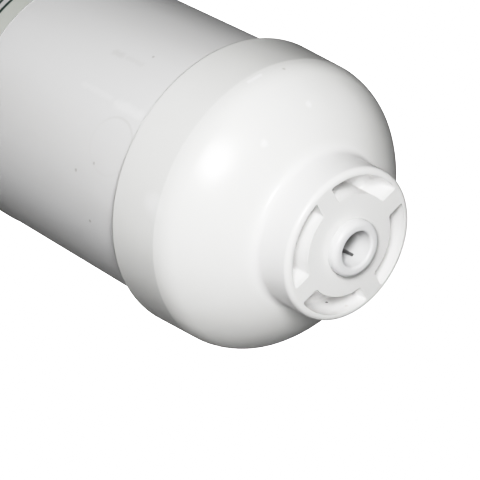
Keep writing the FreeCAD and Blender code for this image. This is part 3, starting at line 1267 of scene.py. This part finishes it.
        def slide(radius: float, place: float, wanted: float) -> None:
            """Slide the vertices beside each spoke along a ring of the face.

            Args:
                radius: Radius of the ring.
                place: Angle of the vertices from the middle of the spoke.
                wanted: Angle that they get.
            """
            for side in (1.0, -1.0):
                choose(
                    piece,
                    Part.VERTEX,
                    lambda v: on_face(v.co)
                    and abs(lathe.radius(v.co) - radius) < PLACE_TOLERANCE
                    and abs(self.off_spoke(lathe, v.co) - side * place) < near,
                )
                turn_selection(side * (wanted - place), lathe.centre(), "X")

        for radius in (self.recess_inner, self.recess_outer):
            slide(radius, border, math.asin(half_width / radius))
        slide(self.recess_inner, border + step, border + 2 * step)
        merge_doubles()
        choose(
            piece,
            Part.FACE,
            lambda f: on_face(f.calc_center_median())
            and self.recess_inner < lathe.radius(f.calc_center_median()) < self.recess_outer
            and abs(self.off_spoke(lathe, f.calc_center_median())) > border,
        )
        sink = Vector((-self.recess_depth, 0.0, 0.0))
        bpy.ops.mesh.extrude_region_move(TRANSFORM_OT_translate={"value": sink})

    def round_recesses(self, piece: bpy.types.Object, lathe: Lathe) -> None:
        """Round the recesses' upright corners, rims and floors.

        Args:
            piece: The cap with its recesses sunk, in edit mode.
            lathe: The lathe that turned it.
        """
        face_x = self.cartridge.face
        floor_x = face_x - self.recess_depth

        def on_wall(edge: bmesh.types.BMEdge) -> bool:
            """Whether an edge lies on a recess wall and turns a sharp corner.

            Args:
                edge: Edge of the cap.

            Returns:
                True for such an edge.
            """
            radius = lathe.radius(edge.verts[0].co)
            if radius < self.recess_inner - PLACE_TOLERANCE or radius > self.recess_outer + PLACE_TOLERANCE:
                return False
            return edge.calc_face_angle(0.0) > SHARP_ANGLE

        def upright_corner(edge: bmesh.types.BMEdge) -> bool:
            """Whether an edge runs up a recess corner, from its floor to the face.

            Args:
                edge: Edge of the cap.

            Returns:
                True for such an edge.
            """
            low, high = sorted(vertex.co.x for vertex in edge.verts)
            spans = abs(low - floor_x) < PLACE_TOLERANCE and abs(high - face_x) < PLACE_TOLERANCE
            return spans and on_wall(edge)

        def at_step(edge: bmesh.types.BMEdge, x: float) -> bool:
            """Whether an edge runs round a recess at one depth."""
            level = all(abs(vertex.co.x - x) < PLACE_TOLERANCE for vertex in edge.verts)
            return level and on_wall(edge)

        rounds = (
            (upright_corner, self.recess_corner, 5),
            (lambda e: at_step(e, floor_x), self.recess_floor_round, 3),
            (lambda e: at_step(e, face_x), self.recess_rim, 3),
        )
        for wanted, offset, segments in rounds:
            choose(piece, Part.EDGE, wanted)
            bpy.ops.mesh.bevel(offset=offset, segments=segments, affect="EDGES", clamp_overlap=True)

    def build(self) -> dict[End, bpy.types.Object]:
        """Model the outlet cap and copy it to the inlet end.

        Returns:
            The finished pieces, by their ends.
        """
        lathe = self.lathe()
        piece = lathe.turn("outlet_cap", self.cartridge.seam, self.outside() + self.inside())
        self.cut_recesses(piece, lathe)
        self.round_recesses(piece, lathe)
        close_mesh()
        end_shaping(piece)
        apply_modifier(piece, "WEIGHTED_NORMAL", keep_sharp=True, weight=100)
        return {End.OUTLET: piece, End.INLET: turned_copy(piece, "inlet_cap")}

    def cap_mark(self, s: float, r: float, degrees: Span, width: float, colour: Colour, strength: float) -> Mark:
        """Mark on the outlet cap between two angles.

        Args:
            s: Its distance from the cap's edge.
            r: Its distance from the axis.
            degrees: Its first and last angle about the axis.
            width: Half its width.
            colour: Colour it leaves.
            strength: How much of that colour shows.

        Returns:
            The mark.
        """
        lathe = self.lathe()
        start, end = (lathe.place(self.cartridge.seam + s, r, math.radians(angle)) for angle in degrees)
        return Mark(colour=colour, strength=strength, start=start, end=end, width=width)

    def spot(self, s: float, r: float, degrees: float, width: float, colour: Colour, strength: float) -> Mark:
        """Round mark at a place on the outlet cap."""
        return self.cap_mark(s, r, (degrees, degrees), width, colour, strength)

    def edge_line(self) -> Band:
        """Dark line along the edge of the skirt."""
        x = self.cartridge.seam + 0.4 * MM
        return Band(colour=grey(0.35, 0.02), strength=0.35, distance=x, half_width=0.15 * MM, blur=0.25 * MM)

    def painted_light_neck(self) -> Band:
        """Painted light: whiter colour on the neck and in the recesses, standing in for light that the lamps
        don't give them.

        Returns:
            The painted light stretch, which ends just short of the collar's face.
        """
        half = self.painted_light_height / 2.0
        middle = self.cartridge.face - self.painted_light_edge - half
        return Band(colour=grey(0.97, 0.003), strength=0.9, distance=middle, half_width=half, blur=0.8 * MM)

    def finish(self) -> WhitePlastic:
        """White plastic of the caps, with painted light on the neck and in the recesses, painted glints and a
        painted light patch, a dark dot and a faint stain on the outlet cap.

        Returns:
            The caps' finish.
        """
        # White of the painted highlights: the first three marks are painted glints and the wide one at 162.6
        # degrees is a painted light patch on the skirt. The grey and black dots and the stain are the cap's
        # own marks.
        painted_highlight = grey(1.0)
        marks = (
            self.spot(18.92 * MM, 21.95 * MM, 87.4, width=0.9 * MM, colour=painted_highlight, strength=1.0),
            self.spot(20.01 * MM, 20.54 * MM, 118.2, width=1.0 * MM, colour=painted_highlight, strength=1.0),
            self.cap_mark(12.25 * MM, 26.79 * MM, (98.8, 104.4), width=0.55 * MM, colour=painted_highlight, strength=0.9),
            self.spot(13.0 * MM, 26.56 * MM, 88.9, width=0.5 * MM, colour=grey(0.45, 0.03), strength=0.5),
            self.spot(10.0 * MM, 27.06 * MM, 162.6, width=3.2 * MM, colour=painted_highlight, strength=0.5),
            self.spot(26.33 * MM, 12.8 * MM, 266.6, width=0.4 * MM, colour=grey(0.05), strength=0.9),
            self.spot(29.48 * MM, 12.8 * MM, 274.7, width=0.6 * MM, colour=self.stain, strength=0.3),
        )
        return WhitePlastic(
            name="cap_plastic",
            pale=self.pale,
            dull=self.dull,
            roughness=(0.28, 0.33),
            grain_size=0.9 * MM,
            grain_height=0.008 * MM,
            layers=(self.painted_light_neck(), self.edge_line(), *marks),
        )

    def dress(self, pieces: dict[End, bpy.types.Object]) -> None:
        """Give both caps their finish and their place in the frame.

        Args:
            pieces: The modelled caps, by their ends.
        """
        material = self.finish().make()
        for end, piece in pieces.items():
            finish_piece(piece, Body.HOUSING, f"{end.value}_end_cap", material)


@dataclass
class PushCollet:
    """Round-edged collet of the port, slotted into four fingers with a groove for their teeth."""

    cartridge: Cartridge
    bore_radius: float = 3.25 * MM
    barrel_radius: float = 4.55 * MM
    head_radius: float = 5.25 * MM
    head_length: float = 0.8 * MM
    cone_length: float = 2.4 * MM
    tail_chamfer: float = 0.25 * MM
    flange_radius: float = 5.2 * MM
    flange_thickness: float = 1.9 * MM
    outer_round: float = 0.95 * MM
    entry_round: float = 0.5 * MM
    under_round: float = 0.3 * MM
    solid_ring: float = 2.9 * MM
    slit_width: float = 0.7 * MM
    slit_turn: float = math.radians(30.0)
    finger_count: int = 4
    tooth_tip: float = 0.75 * MM
    tooth_tip_radius: float = 3.2 * MM
    tooth_reach: float = 1.0 * MM
    tooth_rake: float = 0.8 * MM
    groove_half_width: float = 0.155 * MM
    groove_end_gap: float = 0.03 * MM
    # Depth from the front that the painted shade in the bore leaves unpainted.
    unshaded_depth: float = 5.0 * MM
    merge_distance: float = 0.004 * MM
    rounds_per_turn: int = 120

    def tooth_groove(self) -> list[Point]:
        """Half section of the raked groove that holds the teeth, from its front edge to its back edge.

        Returns:
            The groove's points, in order.
        """
        length = math.hypot(self.tooth_rake, self.tooth_reach)
        along = (self.tooth_rake / length, self.tooth_reach / length)
        across = (along[1] * self.groove_half_width, -along[0] * self.groove_half_width)
        depth = length + self.groove_end_gap
        points = []
        for side in (1.0, -1.0):
            base = (self.tooth_tip + side * across[0], self.tooth_tip_radius + side * across[1])
            to_bore = (self.bore_radius - base[1]) / along[1]
            mouth = (base[0] + along[0] * to_bore, self.bore_radius)
            bottom = (base[0] + along[0] * depth, base[1] + along[1] * depth)
            points += [mouth, bottom] if side > 0.0 else [bottom, mouth]
        return points

    def outline(self) -> list[Point]:
        """Half section of the collet, with s from its inner end.

        Returns:
            The section's points, in order.
        """
        front = self.cartridge.collet_front - self.cartridge.collet_end
        under = front - self.flange_thickness
        slit_start = front - self.solid_ring
        tail = self.tail_chamfer
        outline = [(0.0, self.bore_radius + tail), (0.0, self.head_radius - tail), (tail, self.head_radius)]
        outline += [(self.head_length, self.head_radius)]
        outline += [(self.head_length + self.cone_length, self.barrel_radius)]
        outline += [(slit_start, self.barrel_radius), (under, self.barrel_radius)]
        under_centre = (under + self.under_round, self.flange_radius - self.under_round)
        outline += arc(under_centre, self.under_round, -math.pi / 2.0, 0.0, steps=4)
        outer_centre = (front - self.outer_round, self.flange_radius - self.outer_round)
        outline += arc(outer_centre, self.outer_round, 0.0, math.pi / 2.0, steps=10)
        entry_centre = (front - self.entry_round, self.bore_radius + self.entry_round)
        outline += arc(entry_centre, self.entry_round, math.pi / 2.0, math.pi, steps=8)
        outline += [(slit_start, self.bore_radius)]
        outline += self.tooth_groove()
        outline += [(tail, self.bore_radius)]
        return outline

    def slit_cutter(self, lathe: Lathe) -> bpy.types.Object:
        """Model the saw that cuts all slits: one thin box, repeated about the axis.

        Args:
            lathe: Lathe of the collet.

        Returns:
            The cutter, in object mode.
        """
        bpy.ops.object.select_all(action="DESELECT")
        bpy.ops.mesh.primitive_cube_add(size=1.0)
        cutter = bpy.context.object
        bpy.ops.object.mode_set(mode="EDIT")
        overrun = self.tail_chamfer
        back = self.cartridge.collet_end - overrun
        length = self.cartridge.collet_front - self.solid_ring - back
        bpy.ops.transform.resize(value=(length, self.flange_radius, self.slit_width))
        middle = Vector((back + length / 2.0, self.flange_radius / 2.0 + self.bore_radius / 2.0, 0.0))
        bpy.ops.transform.translate(value=middle + lathe.centre())
        turn_selection(self.slit_turn, lathe.centre(), "X")
        for _ in range(self.finger_count - 1):
            bpy.ops.mesh.duplicate()
            turn_selection(math.tau / self.finger_count, lathe.centre(), "X")
        bpy.ops.object.mode_set(mode="OBJECT")
        return cutter

    def build(self) -> dict[End, bpy.types.Object]:
        """Model the outlet collet and copy it to the inlet end.

        Returns:
            The finished pieces, by their ends.
        """
        lathe = Lathe(self.cartridge.axis, self.rounds_per_turn, self.slit_turn)
        piece = lathe.turn("outlet_push_collet", self.cartridge.collet_end, self.outline())
        bpy.ops.object.mode_set(mode="OBJECT")
        cutter = self.slit_cutter(lathe)
        make_active(piece)
        apply_modifier(piece, "BOOLEAN", operation="DIFFERENCE", solver="EXACT", object=cutter)
        bpy.data.objects.remove(cutter)
        bpy.ops.object.mode_set(mode="EDIT")
        merge_doubles(self.merge_distance)
        end_shaping(piece)
        return {End.OUTLET: piece, End.INLET: turned_copy(piece, "inlet_push_collet")}

    def painted_bore_shade(self) -> Band:
        """Painted shade deep in the bore: a dark band that stands in for the shadow there.

        Returns:
            The painted dark stretch, from the collet's inner end to the unshaded depth.
        """
        end = self.cartridge.collet_end
        reach = self.cartridge.collet_front - self.unshaded_depth - end
        return Band(colour=grey(0.2), strength=0.6, distance=end, half_width=reach, blur=1.5 * MM)

    def finish(self) -> WhitePlastic:
        """Slightly cooler white of the collets, with painted shade deep in the bore.

        Returns:
            The collets' finish.
        """
        return WhitePlastic(
            name="collet_plastic",
            pale=grey(0.84, -0.002),
            dull=grey(0.82, -0.002),
            roughness=(0.30, 0.38),
            grain_size=0.6 * MM,
            grain_height=0.004 * MM,
            layers=(self.painted_bore_shade(),),
        )

    def dress(self, pieces: dict[End, bpy.types.Object]) -> None:
        """Give both collets their finish and their place in the frame.

        Args:
            pieces: The modelled collets, by their ends.
        """
        material = self.finish().make()
        for end, piece in pieces.items():
            finish_piece(piece, Body.grip_at(end), f"{end.value}_collet", material)


@dataclass
class InnerParts:
    """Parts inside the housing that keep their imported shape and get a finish."""

    steel: GrainyFinish = GrainyFinish(
        "tooth_steel",
        dark=grey(0.42),
        light=grey(0.58),
        roughness=(0.28, 0.38),
        grain_size=0.10 * MM,
        grain_height=0.002 * MM,
        metallic=1.0,
        draw=6.0,
    )
    washer: GrainyFinish = GrainyFinish(
        "washer_plastic",
        dark=grey(0.62),
        light=grey(0.68),
        roughness=(0.38, 0.5),
        grain_size=0.5 * MM,
        grain_height=0.004 * MM,
    )
    rubber: GrainyFinish = GrainyFinish(
        "seal_rubber",
        dark=grey(0.012),
        light=grey(0.022),
        roughness=(0.42, 0.6),
        grain_size=0.25 * MM,
        grain_height=0.006 * MM,
    )
    carbon: GrainyFinish = GrainyFinish(
        "pressed_carbon",
        dark=grey(0.008),
        light=grey(0.05),
        roughness=(0.75, 0.95),
        grain_size=0.45 * MM,
        grain_height=0.12 * MM,
    )
    wrap: GrainyFinish = GrainyFinish(
        "wrap_fabric",
        dark=grey(0.55, 0.01),
        light=grey(0.8),
        roughness=(0.8, 0.95),
        grain_size=0.35 * MM,
        grain_height=0.05 * MM,
        draw=5.0,
    )
    plate: GrainyFinish = GrainyFinish(
        "plate_plastic",
        dark=grey(0.60),
        light=grey(0.66),
        roughness=(0.45, 0.58),
        grain_size=0.8 * MM,
        grain_height=0.01 * MM,
    )

    def nodes(self) -> dict[str, GrainyFinish]:
        """Choose the finish of each inner part.

        Returns:
            The finishes, by the names of the nodes.
        """
        finishes = {
            "carbon_block": self.carbon,
            "sediment_wrap": self.wrap,
            "inlet_block_cap": self.plate,
            "outlet_block_cap": self.plate,
            "spigot_seal_inner": self.rubber,
            "spigot_seal_outer": self.rubber,
        }
        for end in End:
            finishes[f"{end.value}_grip_teeth"] = self.steel
            finishes[f"{end.value}_seal_washer"] = self.washer
            finishes[f"{end.value}_tube_seal"] = self.rubber
        return finishes

    def dress(self) -> None:
        """Give each node its finish."""
        made: dict[str, bpy.types.Material] = {}
        for name, finish in self.nodes().items():
            if finish.name not in made:
                made[finish.name] = finish.make()
            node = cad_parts[name]
            node.data.materials.clear()
            node.data.materials.append(made[finish.name])
            logger.info("%s: %s", name, finish.name)


# Stage

def outward(azimuth: float, elevation: float) -> Vector:
    """Unit vector from the object towards a direction.

    Args:
        azimuth: Turn from -Y towards +X, in degrees.
        elevation: Height above the horizon, in degrees.

    Returns:
        The vector.
    """
    turn = math.radians(azimuth)
    rise = math.radians(elevation)
    return Vector((math.sin(turn) * math.cos(rise), -math.cos(turn) * math.cos(rise), math.sin(rise)))


@dataclass(frozen=True)
class Softbox:
    """Area light that points at a place on the cartridge's axis.

    Attributes:
        name: Name of the light.
        azimuth: Direction it stands in, with 0 towards -Y and 90 towards +X, in degrees.
        elevation: Its height above the axis, in degrees.
        distance: Distance from the point it lights.
        size: Diameter, or length of a strip.
        power: Power in watts.
        shift: Place along X that it points at, counted from the outlet cap's edge.
        height: Height of a strip, or zero for a disc.
        spread: Angle into which it shines, in degrees.
    """

    name: str
    azimuth: float
    elevation: float
    distance: float
    size: float
    power: float
    shift: float = 0.0
    height: float = 0.0
    spread: float = 180.0

    def direction(self) -> Vector:
        """Unit vector towards the light."""
        return outward(self.azimuth, self.elevation)

    def place(self, target: Vector) -> None:
        """Put the light up.

        Args:
            target: Point on the axis at the outlet cap's edge.
        """
        lamp = bpy.data.lights.new(self.name, "AREA")
        lamp.shape = "RECTANGLE" if self.height else "DISK"
        lamp.size = self.size
        lamp.size_y = self.height
        lamp.energy = self.power
        lamp.spread = math.radians(self.spread)
        light = bpy.data.objects.new(self.name, lamp)
        light.location = target + Vector((self.shift, 0.0, 0.0)) + self.direction() * self.distance
        light.rotation_euler = self.direction().to_track_quat("Z", "Y").to_euler()
        bpy.context.collection.objects.link(light)


@dataclass
class Studio:
    """Pale floor, soft light and the camera.

    Attributes:
        cartridge: Places of the cartridge.
        azimuth: Direction of the camera, with 0 towards -Y and 90 towards +X, in degrees.
        elevation: Its height above the horizon, in degrees.
        distance: Its distance from the point that it looks at.
        lens: Its focal length, in millimetres.
        sensor: Width of its sensor, in millimetres.
        aim: Point that it looks at, counted from the axis at the outlet cap's edge.
        clip_start: Nearest distance at which it sees.
        floor_size: Side of the floor.
        floor_colour: Colour of the floor.
        floor_roughness: Roughness of the floor.
        seen_glow: Glow that makes floor and surroundings white to the camera alone.
        sky_level: Light from the surroundings.
        lights: The lamps.
        tone_range: Brightest light that the tones take in.
        tones: Amounts of light, and how bright the picture shows each.
    """

    cartridge: Cartridge
    azimuth: float = 50.29
    elevation: float = 27.45
    distance: float = 461.9 * MM
    lens: float = 189.95
    sensor: float = 36.0
    aim: Vector = Vector((-1.99 * MM, 3.21 * MM, -13.2 * MM))
    clip_start: float = 10.0 * MM
    floor_size: float = 12.0
    floor_colour: Colour = grey(0.30)
    floor_roughness: float = 0.9
    seen_glow: float = 2.6
    sky_level: float = 0.045
    lights: tuple[Softbox, ...] = (
        Softbox("key_light", azimuth=50.5, elevation=34.0, distance=0.39, size=0.135, power=1.57),
        Softbox("fill_light", azimuth=160.0, elevation=5.0, distance=0.6, size=0.5, power=0.3),
        Softbox("top_light", azimuth=60.0, elevation=80.0, distance=0.9, size=0.6, power=0.3),
        Softbox(
            "floor_strip",
            azimuth=180.0,
            elevation=-8.0,
            distance=0.15,
            size=0.28,
            power=0.0182,
            shift=-0.146,
            height=0.01,
            spread=24.0,
        ),
        Softbox(
            "inlet_light",
            azimuth=272.0,
            elevation=8.0,
            distance=0.35,
            size=0.12,
            power=0.035,
            shift=-0.2,
            spread=40.0,
        ),
        Softbox(
            "side_light",
            azimuth=345.0,
            elevation=40.0,
            distance=0.35,
            size=0.12,
            power=0.036,
            shift=-0.235,
            spread=36.0,
        ),
    )
    tone_range: float = 2.5
    tones: tuple[Point, ...] = (
        (0.15, 0.105),
        (0.30, 0.270),
        (0.50, 0.530),
        (0.75, 0.765),
        (1.10, 0.915),
        (1.35, 0.975),
        (1.60, 1.0),
    )

    def seam_centre(self) -> Vector:
        """Point on the axis at the outlet cap's edge."""
        return Vector((self.cartridge.seam, 0.0, self.cartridge.axis))

    def set_camera(self) -> None:
        """Make the camera and point it at the outlet end."""
        data = bpy.data.cameras.new("view")
        data.lens = self.lens
        data.sensor_width = self.sensor
        data.clip_start = self.clip_start
        camera = bpy.data.objects.new("view", data)
        back = outward(self.azimuth, self.elevation)
        camera.location = self.seam_centre() + self.aim + back * self.distance
        camera.rotation_euler = back.to_track_quat("Z", "Y").to_euler()
        bpy.context.collection.objects.link(camera)
        bpy.context.scene.camera = camera

    def glow(self, graph: Graph) -> Socket:
        """Strength of a white glow that only the camera sees."""
        seen = graph.add("ShaderNodeLightPath").outputs["Is Camera Ray"]
        return graph.calc("MULTIPLY", seen, self.seen_glow)

    def lay_floor(self) -> None:
        """Make the pale floor, which the camera sees as white."""
        bpy.ops.object.select_all(action="DESELECT")
        bpy.ops.mesh.primitive_plane_add(size=self.floor_size)
        floor = bpy.context.object
        floor.name = "floor"
        material, graph, shader, _ = new_material("floor_paper")
        shader.inputs["Base Color"].default_value = self.floor_colour
        shader.inputs["Roughness"].default_value = self.floor_roughness
        shader.inputs["Specular IOR Level"].default_value = 0.0
        shader.inputs["Emission Color"].default_value = grey(1.0)
        graph.feed(shader.inputs["Emission Strength"], self.glow(graph))
        floor.data.materials.append(material)

    def set_light(self) -> None:
        """Put up the lights and the dim surroundings, which the camera sees as white."""
        for softbox in self.lights:
            softbox.place(self.seam_centre())
        world = bpy.data.worlds.new("surroundings")
        world.use_nodes = True
        ground = world.node_tree.nodes["Background"]
        ground.inputs["Color"].default_value = grey(1.0)
        graph = Graph(world.node_tree)
        graph.feed(ground.inputs["Strength"], graph.calc("ADD", self.glow(graph), self.sky_level))
        bpy.context.scene.world = world

    def set_tones(self) -> None:
        """Give the picture soft highlights, as a camera does."""
        view = bpy.context.scene.view_settings
        view.view_transform = "Standard"
        view.use_curve_mapping = True
        view.curve_mapping.white_level = (self.tone_range,) * 3
        view.curve_mapping.extend = "HORIZONTAL"
        for light, shown in self.tones:
            view.curve_mapping.curves[COMBINED_CURVE].points.new(light / self.tone_range, shown)
        view.curve_mapping.update()

    def build(self) -> None:
        """Set the whole stage."""
        self.set_camera()
        self.lay_floor()
        self.set_light()
        self.set_tones()


def main() -> None:
    """Build every sub-assembly in order."""
    logging.basicConfig(level=logging.INFO, format="%(name)s: %(message)s")
    cartridge = Cartridge.from_frame()
    for assembly in (HousingTube(cartridge), FilmLabel(cartridge), EndCap(cartridge), PushCollet(cartridge)):
        assembly.dress(assembly.build())
    InnerParts().dress()
    Studio(cartridge).build()


if __name__ == "__main__":
    main()
